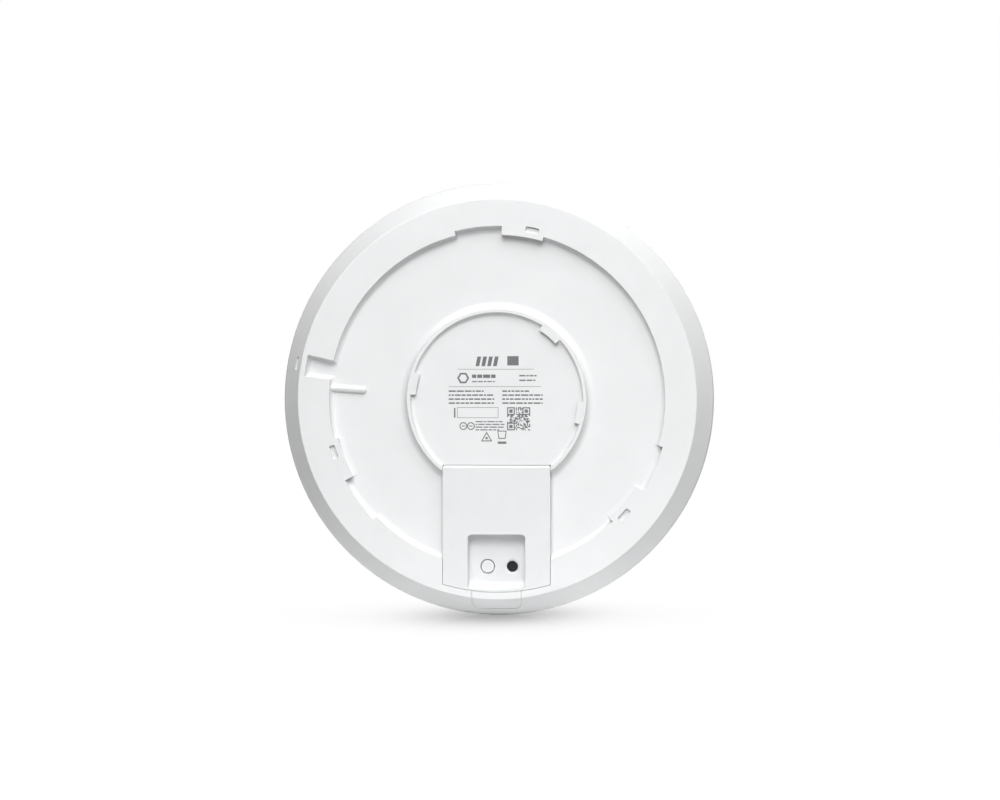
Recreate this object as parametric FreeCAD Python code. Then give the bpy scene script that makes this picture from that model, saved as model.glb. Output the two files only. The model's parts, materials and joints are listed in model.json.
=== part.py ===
"""Round ceiling access point, built piece by piece.

Millimetres. X to the right, Z up and Y through the thickness, as the unit hangs on a wall
with its port cover at the bottom. Y = 0 is the flat band that meets the ceiling or wall, and
Y grows towards the front dome. Angles run counter-clockwise from +X as seen from the back.
"""
import FreeCAD, Part
import math
import os

os.makedirs("parts", exist_ok=True)
V = FreeCAD.Vector

# ---- driving dimensions: whole unit --------------------------------------------------------
RIM_R = 122.0            # widest radius
RIM_Y = 10.6             # level of the widest radius
DEPTH = 58.0             # band to the top of the dome
SEAM_Y = 11.4            # rear housing ends here
SEAM_GAP = 0.5           # groove between rear housing and radome
SKIN = 2.2               # wall of the rear housing
TONGUE_IN_R = 117.4      # collar of the rear housing that reaches inside the radome
TONGUE_OUT_R = 119.1
TONGUE_END_Y = 16.0
DOME_WALL = 2.5          # wall of the radome
DOME_EDGE_R = 36.0       # rounding of the dome's shoulder
DOME_CAP_R = 410.8       # flat curve of the dome's top

# ---- back face -----------------------------------------------------------------------------
BAND_INNER_R = 95.0
BAND_OUTER_R = 112.4
BEVEL_START = (113.1, 0.4)
BEVEL_END = (120.6, 8.6)
FLOOR_Y = 4.4            # ring floor where the bracket sits
LABEL_Y = 2.5            # inner round floor that carries the markings
RING_IN_R = 48.9
RING_OUT_R = 50.8
RING_FILLET = 4.2
LABEL_FILLET = 1.9        # between the raised ring and the label floor
WALL_FILLET = 2.8         # between the ring floor and the wall of the band
INNER_SKIN_R = 99.9      # inside face of the wall under the band
TAB_R = 92.5             # inner edge of the three bayonet tabs
NOTCH_R = 97.5           # depth of the three entry notches
TAB_THICK = 1.8
TAB_SLOT = (95.5, 98.7)  # small blind slot in each tab: radii, angles after the tab's start
TAB_SLOT_ANGLES = (2.0, 6.5)
TAB_SLOT_DEPTH = 1.5
TAB_RAMP_R = 89.3        # the ring floor starts to rise here, in front of each tab
TAB_RAMP_END_R = 93.6
TAB_RAMP_HEIGHT = 1.2
BAYONET_BASE = 73.7      # start angle of the first tab
TAB_SPAN = 14.5
NOTCH_SPAN = 15.8
LUG_R = 45.7             # inner edge of the lugs on the raised ring
LUG_STARTS = (43.0, 162.0, 343.3)
LUG_SPAN = 15.0
LUG_THICK = 1.2
LOCK_ANGLES = (166.8, 173.2)
LOCK_R = 109.9
LOCK_SLOT_R = (115.0, 116.3)  # narrow slot in the bevel, in line with the pocket
LOCK_SLOT_Y = 4.3
RIB_ANGLE = 176.1        # low rib on the ring floor
RIB_RADIUS = 2.1
RIB_INNER_R = 74.3

# ---- port cover and bay --------------------------------------------------------------------
COVER_X = 30.4
COVER_TOP_Z = -37.4
COVER_END_R = 108.7
COVER_PLATE = 2.0
SKIRT_END_Y = 3.6
SKIRT_WALL = 1.8
COVER_GAP = 0.2
HINGE_Y = 1.6
HINGE_Z = COVER_TOP_Z - 1.6
HINGE_BARREL_R = 1.6
PIN_R = 0.75
SCOOP_X = 16.3
SCOOP_TOP_Z = -76.3
SCOOP_Y = 6.6
SCOOP_DRAFT = 0.3
SCOOP_CORNER = 2.4
SCOOP_WALL = 1.8
SCOOP_BOWL = 4.8          # radius of the concave lower end of the scoop
BAY_X = 27.5
BAY_TOP_Z = -62.0
BAY_END_R = 104.3
BAY_FLOOR_Y = 22.0
BAY_WALL = 2.0
BUTTON_X = -5.4
SCREW_X = 8.5
CONTROL_Z = -94.5
BUTTON_R = 3.6
BUTTON_HOLE_R = 4.1
SCREW_RING_R = 4.35      # countersink around the screw well
SCREW_WELL_R = 3.05
PLUNGER_TIP_Y = 18.6
TAB_X = 14.1
TAB_END_R = 118.3
TAB_CORNER = 4.5
TAB_GAP = 0.1
CHANNEL_X = 12.6
CHANNEL_Y = 14.0

# ---- electronics ---------------------------------------------------------------------------
BOARD_Y = 24.0
BOARD_THICK = 1.6
BOARD_R = 98.0
BOSS_R = 3.4
BOSS_RING_R = 82.0
BOSS_ANGLES = (25.0, 90.0, 155.0, 212.0, 328.0)
SPREADER_Y = 14.5
SPREADER_THICK = 2.0
JACK_WIDTH = 16.0
JACK_HEIGHT = 13.4
JACK_LENGTH = 24.0
JACK_X = 9.2
LIGHT_IN_R = 31.0
LIGHT_OUT_R = 33.0


# ---- small helpers -------------------------------------------------------------------------
def box(x0, x1, y0, y1, z0, z1):
    return Part.makeBox(x1 - x0, y1 - y0, z1 - z0, V(x0, y0, z0))


def rod_y(x, z, radius, y0, y1):
    return Part.makeCylinder(radius, y1 - y0, V(x, y0, z), V(0, 1, 0))


def cone_y(x, z, r0, r1, y0, y1):
    return Part.makeCone(r0, r1, y1 - y0, V(x, y0, z), V(0, 1, 0))


def annulus(r_in, r_out, y0, y1):
    return rod_y(0, 0, r_out, y0, y1).cut(rod_y(0, 0, r_in, y0 - 1, y1 + 1))


def polar(radius, degrees, y=0.0):
    angle = math.radians(degrees)
    return V(radius * math.cos(angle), y, radius * math.sin(angle))


def line(a, b):
    return Part.LineSegment(a, b).toShape()


def arc(a, mid, b):
    return Part.Arc(a, mid, b).toShape()


def sector(r_in, r_out, a0, a1, y0, y1):
    """Ring segment between two angles, as a prism along Y."""
    mid = (a0 + a1) / 2
    outer = arc(polar(r_out, a0, y0), polar(r_out, mid, y0), polar(r_out, a1, y0))
    inner = arc(polar(r_in, a1, y0), polar(r_in, mid, y0), polar(r_in, a0, y0))
    side_a = line(polar(r_out, a1, y0), polar(r_in, a1, y0))
    side_b = line(polar(r_in, a0, y0), polar(r_out, a0, y0))
    face = Part.Face(Part.Wire([outer, side_a, inner, side_b]))
    return face.extrude(V(0, y1 - y0, 0))


def revolve(edges):
    """Solid of revolution about Y from profile edges drawn in the X-Y plane."""
    return Part.Face(Part.Wire(edges)).revolve(V(0, 0, 0), V(0, 1, 0), 360)


def profile(points):
    """Edges through (radius, y) points; a point given as ("arc", mid, end) makes an arc."""
    edges = []
    last = V(points[0][0], points[0][1], 0)
    for point in points[1:] + points[:1]:
        if point[0] == "arc":
            end = V(point[2][0], point[2][1], 0)
            edges.append(arc(last, V(point[1][0], point[1][1], 0), end))
        else:
            end = V(point[0], point[1], 0)
            edges.append(line(last, end))
        last = end
    return edges


def arc_mid(centre, radius, degrees):
    angle = math.radians(degrees)
    return (centre[0] + radius * math.cos(angle), centre[1] + radius * math.sin(angle))


def turned(shape, degrees):
    """Copy turned counter-clockwise about the unit's axis, as seen from the back."""
    copy = shape.copy()
    copy.rotate(V(0, 0, 0), V(0, 1, 0), -degrees)
    return copy


def fuse_all(shapes):
    body = shapes[0]
    if len(shapes) > 1:
        body = body.fuse(shapes[1:])
    return body.removeSplitter()


def export(name, shape):
    solids = shape.Solids
    for solid in solids:
        if not solid.isValid():
            print("invalid solid in", name)
    shape = solids[0] if len(solids) == 1 else Part.makeCompound(solids)
    shape.exportStep("parts/" + name + ".step")
    print(name, len(solids), "solid(s)", round(shape.Volume), "mm3")


# ---- outer skin ----------------------------------------------------------------------------
def cap_y(radius, inset=0.0):
    """Level of the dome's top at a radius, or of its inside face for an inset."""
    ball = DOME_CAP_R - inset
    return DEPTH - DOME_CAP_R + math.sqrt(ball * ball - radius * radius)


def shoulder_tangent(inset):
    """Point where the dome's top meets its shoulder, for the outer or the inner face."""
    centre = (RIM_R - DOME_EDGE_R, SEAM_Y + SEAM_GAP)
    ball_centre = (0.0, DEPTH - DOME_CAP_R)
    across = centre[0] - ball_centre[0]
    up = centre[1] - ball_centre[1]
    reach = math.hypot(across, up)
    ball = DOME_CAP_R - inset
    return (ball * across / reach, ball_centre[1] + ball * up / reach)


def dome_solid(inset):
    """Solid under the dome from the seam up, shrunk by inset."""
    start = SEAM_Y + SEAM_GAP
    centre = (RIM_R - DOME_EDGE_R, start)
    shoulder = DOME_EDGE_R - inset
    tangent = shoulder_tangent(inset)
    turn = math.degrees(math.atan2(tangent[1] - centre[1], tangent[0] - centre[0]))
    half = (tangent[0] / 2, cap_y(tangent[0] / 2, inset))
    top = (0.0, DEPTH - inset)
    return revolve(profile([
        (0.0, start),
        (RIM_R - inset, start),
        ("arc", arc_mid(centre, shoulder, turn / 2), tangent),
        ("arc", half, top),
    ]))


def bevel_inset_r(y):
    """Radius of the bevel's inside face at a level."""
    slope = (BEVEL_END[1] - BEVEL_START[1]) / (BEVEL_END[0] - BEVEL_START[0])
    length = math.hypot(1.0, slope)
    return BEVEL_START[0] + (y - BEVEL_START[1] - SKIN * length) / slope


def rear_skin():
    """The revolved shell of the rear housing with its ring, band, bevel and tongue."""
    label_centre = (RING_IN_R - LABEL_FILLET, LABEL_Y - LABEL_FILLET)
    fillet_centre = (RING_OUT_R + RING_FILLET, FLOOR_Y - RING_FILLET)
    wall_centre = (BAND_INNER_R - WALL_FILLET, FLOOR_Y - WALL_FILLET)
    return revolve(profile([
        (0.0, LABEL_Y),
        (label_centre[0], LABEL_Y),
        ("arc", arc_mid(label_centre, LABEL_FILLET, 45), (RING_IN_R, label_centre[1])),
        (RING_IN_R, 0.0),
        (RING_OUT_R, 0.0),
        (RING_OUT_R, fillet_centre[1]),
        ("arc", arc_mid(fillet_centre, RING_FILLET, 135), (fillet_centre[0], FLOOR_Y)),
        (wall_centre[0], FLOOR_Y),
        ("arc", arc_mid(wall_centre, WALL_FILLET, 45), (BAND_INNER_R, wall_centre[1])),
        (BAND_INNER_R, 0.0),
        (BAND_OUTER_R, 0.0),
        ("arc", (112.80, 0.11), BEVEL_START),
        BEVEL_END,
        ("arc", (121.55, 9.55), (RIM_R, RIM_Y)),
        (RIM_R, SEAM_Y),
        (TONGUE_OUT_R, SEAM_Y),
        (TONGUE_OUT_R, TONGUE_END_Y),
        (TONGUE_IN_R, TONGUE_END_Y),
        (TONGUE_IN_R, 8.58),
        (bevel_inset_r(SKIN), SKIN),
        (INNER_SKIN_R, SKIN),
        (INNER_SKIN_R, FLOOR_Y + SKIN),
        (53.6, FLOOR_Y + SKIN),
        (50.6, LABEL_Y + SKIN),
        (0.0, LABEL_Y + SKIN),
    ]))


def snap_shapes(r_in, r_out, half_span, y0, y1):
    """Six short ring segments: the radome's hooks, or the windows that receive them."""
    shapes = []
    for turn in range(6):
        middle = 60.0 * turn + 30.0
        shapes.append(sector(r_in, r_out, middle - half_span, middle + half_span, y0, y1))
    return shapes


# ---- footprints used by the cover, its recess and the bay -----------------------------------
def footprint(half_x, top_z, end_r, y0, y1):
    """Rectangle with a round lower end that follows the rim."""
    end_z = -math.sqrt(end_r * end_r - half_x * half_x)
    edges = [
        line(V(-half_x, y0, top_z), V(half_x, y0, top_z)),
        line(V(half_x, y0, top_z), V(half_x, y0, end_z)),
        arc(V(half_x, y0, end_z), V(0, y0, -end_r), V(-half_x, y0, end_z)),
        line(V(-half_x, y0, end_z), V(-half_x, y0, top_z)),
    ]
    return Part.Face(Part.Wire(edges)).extrude(V(0, y1 - y0, 0))


def tab_outline(shrink, y0, y1):
    """Outline of the cable tab: straight sides and two rounded lower corners."""
    half = TAB_X - shrink
    start_z = -(COVER_END_R - 2.0)
    end_z = -(TAB_END_R - shrink)
    corner = TAB_CORNER - shrink
    knee = corner * math.cos(math.radians(45))
    edges = [
        line(V(-half, y0, start_z), V(half, y0, start_z)),
        line(V(half, y0, start_z), V(half, y0, end_z + corner)),
        arc(V(half, y0, end_z + corner),
            V(half - corner + knee, y0, end_z + corner - knee),
            V(half - corner, y0, end_z)),
        line(V(half - corner, y0, end_z), V(corner - half, y0, end_z)),
        arc(V(corner - half, y0, end_z),
            V(corner - half - knee, y0, end_z + corner - knee),
            V(-half, y0, end_z + corner)),
        line(V(-half, y0, end_z + corner), V(-half, y0, start_z)),
    ]
    return Part.Face(Part.Wire(edges)).extrude(V(0, y1 - y0, 0))


# ---- rear housing --------------------------------------------------------------------------
def spun(points, start, span):
    """Profile in radius and level, swept about the unit's axis from a start angle."""
    face = Part.Face(Part.Wire(profile(points)))
    return turned(face.revolve(V(0, 0, 0), V(0, 1, 0), -span), start)


def soft_sector(r_in, r_out, a0, a1, y0, y1, corner):
    """Ring segment with rounded corners."""
    block = sector(r_in, r_out, a0, a1, y0, y1)
    upright = [e for e in block.Edges if abs(e.Vertexes[0].Y - e.Vertexes[-1].Y) > 0.1]
    return block.makeFillet(corner, upright)


def bayonet_starts():
    return [BAYONET_BASE + turn for turn in (0, 120, 240)]


def entry_notch(start):
    """Cutter for one entry notch; it leaves a fillet at the foot of the notch's wall."""
    centre = (NOTCH_R - WALL_FILLET, FLOOR_Y - WALL_FILLET)
    return spun([
        (88.0, -1.0), (NOTCH_R, -1.0), (NOTCH_R, centre[1]),
        ("arc", arc_mid(centre, WALL_FILLET, 45), (centre[0], FLOOR_Y)), (88.0, FLOOR_Y),
    ], start + TAB_SPAN, NOTCH_SPAN)


def bayonet_cuts():
    """Entry notches and the undercuts behind the tabs."""
    cuts = []
    for start in bayonet_starts():
        cuts.append(entry_notch(start))
        cuts.append(sector(88.0, NOTCH_R, start + 0.8, start + TAB_SPAN, TAB_THICK, FLOOR_Y))
    return cuts


def bayonet_ramps():
    """Gentle rise of the ring floor in front of each tab."""
    ball = (TAB_RAMP_END_R - TAB_RAMP_R) ** 2 + TAB_RAMP_HEIGHT ** 2
    ball = ball / (2 * TAB_RAMP_HEIGHT)
    half_turn = math.asin((TAB_RAMP_END_R - TAB_RAMP_R) / ball) / 2
    middle = (TAB_RAMP_R + ball * math.sin(half_turn), FLOOR_Y - ball * (1 - math.cos(half_turn)))
    ramps = []
    for start in bayonet_starts():
        ramps.append(spun([
            (TAB_RAMP_R, FLOOR_Y), ("arc", middle, (TAB_RAMP_END_R, FLOOR_Y - TAB_RAMP_HEIGHT)),
            (NOTCH_R + 0.5, FLOOR_Y - TAB_RAMP_HEIGHT), (NOTCH_R + 0.5, FLOOR_Y + 0.5),
            (TAB_RAMP_R, FLOOR_Y + 0.5),
        ], start, TAB_SPAN))
    return ramps


def bayonet_tabs():
    """The three plates that reach inwards over the bracket's ring."""
    tabs = []
    for start in bayonet_starts():
        tab = sector(TAB_R, NOTCH_R + 0.5, start, start + TAB_SPAN, 0, TAB_THICK)
        stop_wall = sector(TAB_R, NOTCH_R + 0.5, start, start + 0.8, 0, FLOOR_Y)
        tabs.append(tab.fuse(stop_wall))
    return tabs


def tab_slots():
    """Small blind slots in the back of the three tabs."""
    first, last = TAB_SLOT_ANGLES
    return [soft_sector(TAB_SLOT[0], TAB_SLOT[1], start + first, start + last,
                        -1, TAB_SLOT_DEPTH, 0.9) for start in bayonet_starts()]


def ring_lugs():
    """The three lugs on the inside of the raised ring, with a small foot at one end."""
    lugs = []
    for start in LUG_STARTS:
        lugs.append(sector(LUG_R, RING_IN_R + 0.5, start, start + LUG_SPAN, 0, LUG_THICK))
        lugs.append(sector(LUG_R + 0.6, RING_IN_R + 0.5, start, start + 1.6, 0, LABEL_Y + 0.5))
    return lugs


def lock_pocket():
    """Pocket in the band that receives the bracket's locking tongue, and its tool slot."""
    a0, a1 = LOCK_ANGLES
    pocket = sector(BAND_INNER_R - 6, LOCK_R, a0, a1, -1, FLOOR_Y)
    foot = [e for e in pocket.Edges if min(v.Y for v in e.Vertexes) > FLOOR_Y - 0.01]
    foot = [e for e in foot if e.BoundBox.XMin < -(BAND_INNER_R - 1)]
    pocket = pocket.makeFillet(2.6, foot)
    slot = sector(LOCK_SLOT_R[0], LOCK_SLOT_R[1], a0 + 1.4, a1 - 1.5, -1, LOCK_SLOT_Y)
    return [pocket, slot]


def lock_floor():
    """Material under the lock pocket, so that it stays closed to the inside."""
    a0, a1 = LOCK_ANGLES
    block = sector(BAND_INNER_R, LOCK_R + 4.6, a0 - 1.2, a1 + 1.2, 1.0, FLOOR_Y + SKIN)
    return block.common(under_bevel())


def floor_rib():
    """Half-round rib on the ring floor below the lock pocket, with a round end."""
    start = RIB_INNER_R + RIB_RADIUS
    rib = Part.makeCylinder(RIB_RADIUS, NOTCH_R - start, V(start, FLOOR_Y, 0), V(1, 0, 0))
    nose = Part.makeSphere(RIB_RADIUS, V(start, FLOOR_Y, 0))
    return turned(rib.fuse(nose), RIB_ANGLE)


def bosses():
    """Screw bosses that carry the spreader and the board."""
    posts = []
    for angle in BOSS_ANGLES:
        place = polar(BOSS_RING_R, angle)
        top = SPREADER_Y if angle < 200 else SPREADER_Y + SPREADER_THICK
        posts.append(rod_y(place.x, place.z, BOSS_R, FLOOR_Y + SKIN - 0.5, top))
    return posts


def boss_holes():
    holes = []
    for angle in BOSS_ANGLES:
        place = polar(BOSS_RING_R, angle)
        holes.append(rod_y(place.x, place.z, 1.25, FLOOR_Y + SKIN + 1.0, 18.0))
    return holes


def bay_block():
    """Walls and floors that form the cover's seat, the port bay and the cable channel."""
    seat = footprint(COVER_X + COVER_GAP + SKIN, COVER_TOP_Z - 1, COVER_END_R + COVER_GAP + SKIN,
                     FLOOR_Y, FLOOR_Y + SKIN)
    rim_wall = footprint(COVER_X + COVER_GAP + SKIN, -86.0, COVER_END_R + COVER_GAP + SKIN,
                         0.5, FLOOR_Y + SKIN)
    rim_wall = rim_wall.cut(rod_y(0, 0, BAND_INNER_R, -1, FLOOR_Y))
    bay = footprint(BAY_X + BAY_WALL, BAY_TOP_Z + BAY_WALL, BAY_END_R + BAY_WALL,
                    FLOOR_Y, BAY_FLOOR_Y + 1.5)
    channel = box(-TAB_X - 2.2, TAB_X + 2.2, 0.5, CHANNEL_Y + 1.8, -118.0, -100.0)
    return [seat, rim_wall, bay, channel.common(under_bevel())]


def under_bevel():
    """Everything inside the bevel's outer face, a little below its surface."""
    return revolve(profile([
        (0.0, 0.3), (112.6, 0.3), (BEVEL_END[0] - 0.3, BEVEL_END[1] + 0.1),
        (BEVEL_END[0] - 1.2, 9.5), (117.6, 9.5), (114.5, CHANNEL_Y + 2), (0.0, CHANNEL_Y + 2),
    ]))


def channel_cut():
    """Passage for the network cable from the bay, under the cover's lip, to the rim."""
    points = [(-103.0, 7.4), (-108.4, 7.4), (-108.4, -1.0), (-119.5, -1.0),
              (-118.0, 5.6), (-113.5, CHANNEL_Y), (-103.0, CHANNEL_Y)]
    corners = [V(-CHANNEL_X, y, z) for z, y in points]
    face = Part.Face(Part.makePolygon(corners + corners[:1]))
    passage = face.extrude(V(2 * CHANNEL_X, 0, 0))
    return passage.common(tab_outline(1.4, -2, CHANNEL_Y + 2).fuse(
        box(-CHANNEL_X, CHANNEL_X, -2, CHANNEL_Y + 2, -110.0, -102.0)))


def tab_skin(shrink):
    """Slice of the band and bevel, as thick as the tab, inside the tab's outline."""
    slice_2mm = revolve(profile([
        (105.0, 0.0), (BAND_OUTER_R, 0.0), ("arc", (112.80, 0.11), BEVEL_START), BEVEL_END,
        (BEVEL_END[0] - 1.5, BEVEL_END[1] + 1.3), (111.8, 2.0), (105.0, 2.0),
    ]))
    return slice_2mm.common(tab_outline(shrink, -1, 12))


def scoop_relief():
    """Room in the housing for the underside of the cover's scoop."""
    floor_y = SCOOP_Y + SCOOP_WALL + 0.6
    return box(-SCOOP_X - 3.2, SCOOP_X + 3.2, FLOOR_Y - 0.1, floor_y, -112.0, -74.0).common(
        rod_y(0, 0, COVER_END_R + COVER_GAP, 0, 20))


def rear_housing():
    body = fuse_all([rear_skin(), lock_floor(), floor_rib()] + bosses() + bay_block())
    body = body.cut(bayonet_cuts() + lock_pocket())
    body = fuse_all([body] + bayonet_ramps() + bayonet_tabs() + ring_lugs())
    body = body.cut(tab_slots())
    recess = footprint(COVER_X + COVER_GAP, COVER_TOP_Z + 0.2, COVER_END_R + COVER_GAP, -1, FLOOR_Y)
    bay = footprint(BAY_X, BAY_TOP_Z, BAY_END_R, FLOOR_Y - 1, BAY_FLOOR_Y)
    jack_room = box(-17.6, 17.6, 10.2, 30.0, BAY_TOP_Z - 1, BAY_TOP_Z + 4)
    jack_room = jack_room.common(box(-18, 18, 0, 30, BAY_TOP_Z, 0))
    switch_hole = box(BUTTON_X - 3.6, BUTTON_X + 3.6, 20.0, 30.0, CONTROL_Z - 3.6, CONTROL_Z + 3.6)
    body = body.cut([recess, bay, jack_room, switch_hole, scoop_relief(), channel_cut()])
    body = body.cut(tab_room())
    post = rod_y(SCREW_X, CONTROL_Z, 3.0, 14.2, BAY_FLOOR_Y + 0.5)
    post = post.fuse(cone_y(SCREW_X, CONTROL_Z, 3.0, 4.6, 19.0, BAY_FLOOR_Y + 0.5))
    body = fuse_all([body, post])
    thread = rod_y(SCREW_X, CONTROL_Z, 1.3, 13.0, 20.5)
    pin_hole = Part.makeCylinder(PIN_R + 0.02, 80, V(-40, HINGE_Y, HINGE_Z), V(1, 0, 0))
    pin_hole = pin_hole.common(box(-32.0, 32.0, -5, 10, -60, -20))
    windows = snap_shapes(TONGUE_IN_R - 1, TONGUE_OUT_R + 1, 2.3, 13.1, 14.6)
    return body.cut([thread, pin_hole] + boss_holes() + windows)


def tab_room():
    """Seat of the cable tab: its own outline, open to the back."""
    return tab_outline(0.0, -1, 12).common(revolve(profile([
        (COVER_END_R + 0.1, -1.0), (123.0, -1.0), (123.0, 6.0), (BEVEL_END[0] - 1.6, 10.2),
        (111.7, 2.4), (COVER_END_R + 0.1, 2.4),
    ])))


# ---- cover and what rides on it ------------------------------------------------------------
def scoop_cavity():
    """Thumb scoop: nearly upright side walls, flat floor and a concave end that rises to a lip."""
    def ring(half_x, top_z, y, corner):
        knee = corner * (1 - math.cos(math.radians(45)))
        return Part.Wire([
            line(V(-half_x, y, -114), V(half_x, y, -114)),
            line(V(half_x, y, -114), V(half_x, y, top_z - corner)),
            arc(V(half_x, y, top_z - corner), V(half_x - knee, y, top_z - knee),
                V(half_x - corner, y, top_z)),
            line(V(half_x - corner, y, top_z), V(corner - half_x, y, top_z)),
            arc(V(corner - half_x, y, top_z), V(knee - half_x, y, top_z - knee),
                V(-half_x, y, top_z - corner)),
            line(V(-half_x, y, top_z - corner), V(-half_x, y, -114)),
        ])
    prism = Part.makeLoft([
        ring(SCOOP_X, SCOOP_TOP_Z, 0.0, SCOOP_CORNER),
        ring(SCOOP_X - SCOOP_DRAFT, SCOOP_TOP_Z, SCOOP_Y, SCOOP_CORNER)], True)
    bowl_centre = (107.4 - SCOOP_BOWL, SCOOP_Y - SCOOP_BOWL)
    bowl = revolve(profile([
        (60.0, 0.0), (107.5, 0.0), (107.4, bowl_centre[1]),
        ("arc", arc_mid(bowl_centre, SCOOP_BOWL, 45), (bowl_centre[0], SCOOP_Y)),
        (60.0, SCOOP_Y),
    ]))
    return prism.common(bowl)


def port_cover():
    top = COVER_TOP_Z - HINGE_BARREL_R
    shell = footprint(COVER_X, top, COVER_END_R, 0, SKIRT_END_Y)
    hollow = footprint(COVER_X - SKIRT_WALL, top + 1, COVER_END_R - SKIRT_WALL,
                       COVER_PLATE, SKIRT_END_Y + 1)
    shell = shell.cut(hollow)
    half = SCOOP_X + SCOOP_WALL
    floor_y = SCOOP_Y + SCOOP_WALL
    tub = box(-half, half, 0, floor_y, -112.0, SCOOP_TOP_Z + SCOOP_WALL)
    tub = tub.common(revolve(profile([
        (60.0, 0.0), (COVER_END_R, 0.0), (COVER_END_R, SKIRT_END_Y),
        (COVER_END_R - 3.1, floor_y), (60.0, floor_y)])))
    barrel = Part.makeCylinder(HINGE_BARREL_R, 2 * COVER_X, V(-COVER_X, HINGE_Y, HINGE_Z),
                               V(1, 0, 0))
    body = fuse_all([shell, tub, barrel])
    well = cone_y(SCREW_X, CONTROL_Z, SCREW_RING_R, SCREW_WELL_R, SCOOP_Y, SCOOP_Y + 0.6)
    body = body.cut([scoop_cavity(), rod_y(BUTTON_X, CONTROL_Z, BUTTON_HOLE_R, 0, 12), well,
                     rod_y(SCREW_X, CONTROL_Z, 3.8, SCOOP_Y + 0.6, 12)])
    pin_hole = Part.makeCylinder(PIN_R + 0.05, 80, V(-40, HINGE_Y, HINGE_Z), V(1, 0, 0))
    corner_left = rod_y(-COVER_X, COVER_TOP_Z, 0.7, -1, 6)
    corner_right = rod_y(COVER_X, COVER_TOP_Z, 0.7, -1, 6)
    return body.cut([pin_hole, corner_left, corner_right])


def screw_bush():
    """Dark sleeve under the countersink that leads a driver down to the security screw."""
    body = rod_y(SCREW_X, CONTROL_Z, 3.8, SCOOP_Y + 0.6, 11.6)
    body = body.cut(rod_y(SCREW_X, CONTROL_Z, SCREW_WELL_R, SCOOP_Y, 10.6))
    return body.cut(rod_y(SCREW_X, CONTROL_Z, 1.7, 10, 12))


def security_screw():
    head = rod_y(SCREW_X, CONTROL_Z, 2.7, 9.0, 10.55)
    shank = rod_y(SCREW_X, CONTROL_Z, 1.45, 10.5, 13.9)
    socket = Part.Face(Part.makePolygon([
        V(SCREW_X + 1.3 * math.cos(math.radians(60 * k)), 8.5,
          CONTROL_Z + 1.3 * math.sin(math.radians(60 * k))) for k in range(7)]))
    return head.fuse(shank).cut(socket.extrude(V(0, 1.4, 0)))


def button_guide():
    """Cup fixed under the scoop; it guides the stem and holds the button's spring."""
    cup = rod_y(BUTTON_X, CONTROL_Z, 6.6, SCOOP_Y + SCOOP_WALL, 16.0)
    cup = cup.cut(rod_y(BUTTON_X, CONTROL_Z, 5.5, SCOOP_Y + SCOOP_WALL - 1, 15.0))
    return cup.cut(rod_y(BUTTON_X, CONTROL_Z, 1.56, 14, 17))


def reset_button():
    under = SCOOP_Y + SCOOP_WALL
    cap = rod_y(BUTTON_X, CONTROL_Z, BUTTON_R, SCOOP_Y, under + 0.6)
    flange = rod_y(BUTTON_X, CONTROL_Z, 5.2, under + 0.15, under + 1.25)
    stem = rod_y(BUTTON_X, CONTROL_Z, 1.5, under + 1.0, PLUNGER_TIP_Y)
    return fuse_all([cap, flange, stem])


def button_spring():
    """Coil spring between the button's flange and the bottom of its guide cup."""
    coil = Part.makeHelix(0.95, 4.63, 2.9)
    wire_r = 0.3
    start = coil.Edges[0].valueAt(coil.Edges[0].FirstParameter)
    circle = Part.Wire(Part.makeCircle(wire_r, start, V(0, 1, 0.13)))
    tube = Part.Wire(coil).makePipeShell([circle], True, True)
    tube.rotate(V(0, 0, 0), V(1, 0, 0), -90)
    tube.translate(V(BUTTON_X, SCOOP_Y + SCOOP_WALL + 1.65, CONTROL_Z))
    return tube


def hinge_pin():
    return Part.makeCylinder(PIN_R, 63.4, V(-31.7, HINGE_Y, HINGE_Z), V(1, 0, 0))


def bay_seal():
    """Soft loop on the bay's ledge under the cover's skirt."""
    y0 = SKIRT_END_Y + 0.25
    outer = footprint(COVER_X - 0.1, COVER_TOP_Z - 3.6, COVER_END_R - 0.1, y0, FLOOR_Y)
    inner = footprint(COVER_X - 2.0, COVER_TOP_Z - 5.4, COVER_END_R - 2.0, y0 - 1, FLOOR_Y + 1)
    gap = box(-SCOOP_X - 3.2, SCOOP_X + 3.2, 0, 10, -112.0, -100.0)
    return outer.cut(inner).cut(gap)


def cable_tab():
    return tab_skin(TAB_GAP).cut(rod_y(0, 0, COVER_END_R + 0.2, -2, 12))


# ---- front shell ---------------------------------------------------------------------------
def front_radome():
    shell = dome_solid(0).cut(dome_solid(DOME_WALL))
    shell = shell.cut(rod_y(0, 0, LIGHT_OUT_R + 0.1, 40, DEPTH + 1))
    seat = annulus(LIGHT_OUT_R + 0.1, LIGHT_OUT_R + 2.2, 48.5, cap_y(LIGHT_OUT_R) - 1.0)
    return fuse_all([shell, seat] + snap_shapes(118.0, 119.6, 2.0, 13.3, 14.3))


def front_cap():
    """Centre of the dome, inside the light ring."""
    plug = rod_y(0, 0, LIGHT_IN_R - 0.1, 45, DEPTH + 1).common(dome_solid(0))
    plug = plug.cut(dome_solid(DOME_WALL).common(rod_y(0, 0, LIGHT_IN_R - 2.0, 40, DEPTH)))
    return plug.cut(rod_y(0, 0, LIGHT_IN_R + 1, 40, 50.0))


def light_guide():
    """Clear tube that carries light from the board to a thin ring in the dome."""
    tube = annulus(LIGHT_IN_R, LIGHT_OUT_R, BOARD_Y + BOARD_THICK + 1.6, DEPTH)
    tube = tube.common(dome_solid(0))
    ledge = annulus(LIGHT_IN_R - 2.0, LIGHT_IN_R + 0.1, 48.0, 50.0)
    return fuse_all([tube, ledge])


def rim_seal():
    return annulus(119.6, 121.2, SEAM_Y, SEAM_Y + SEAM_GAP)


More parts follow.
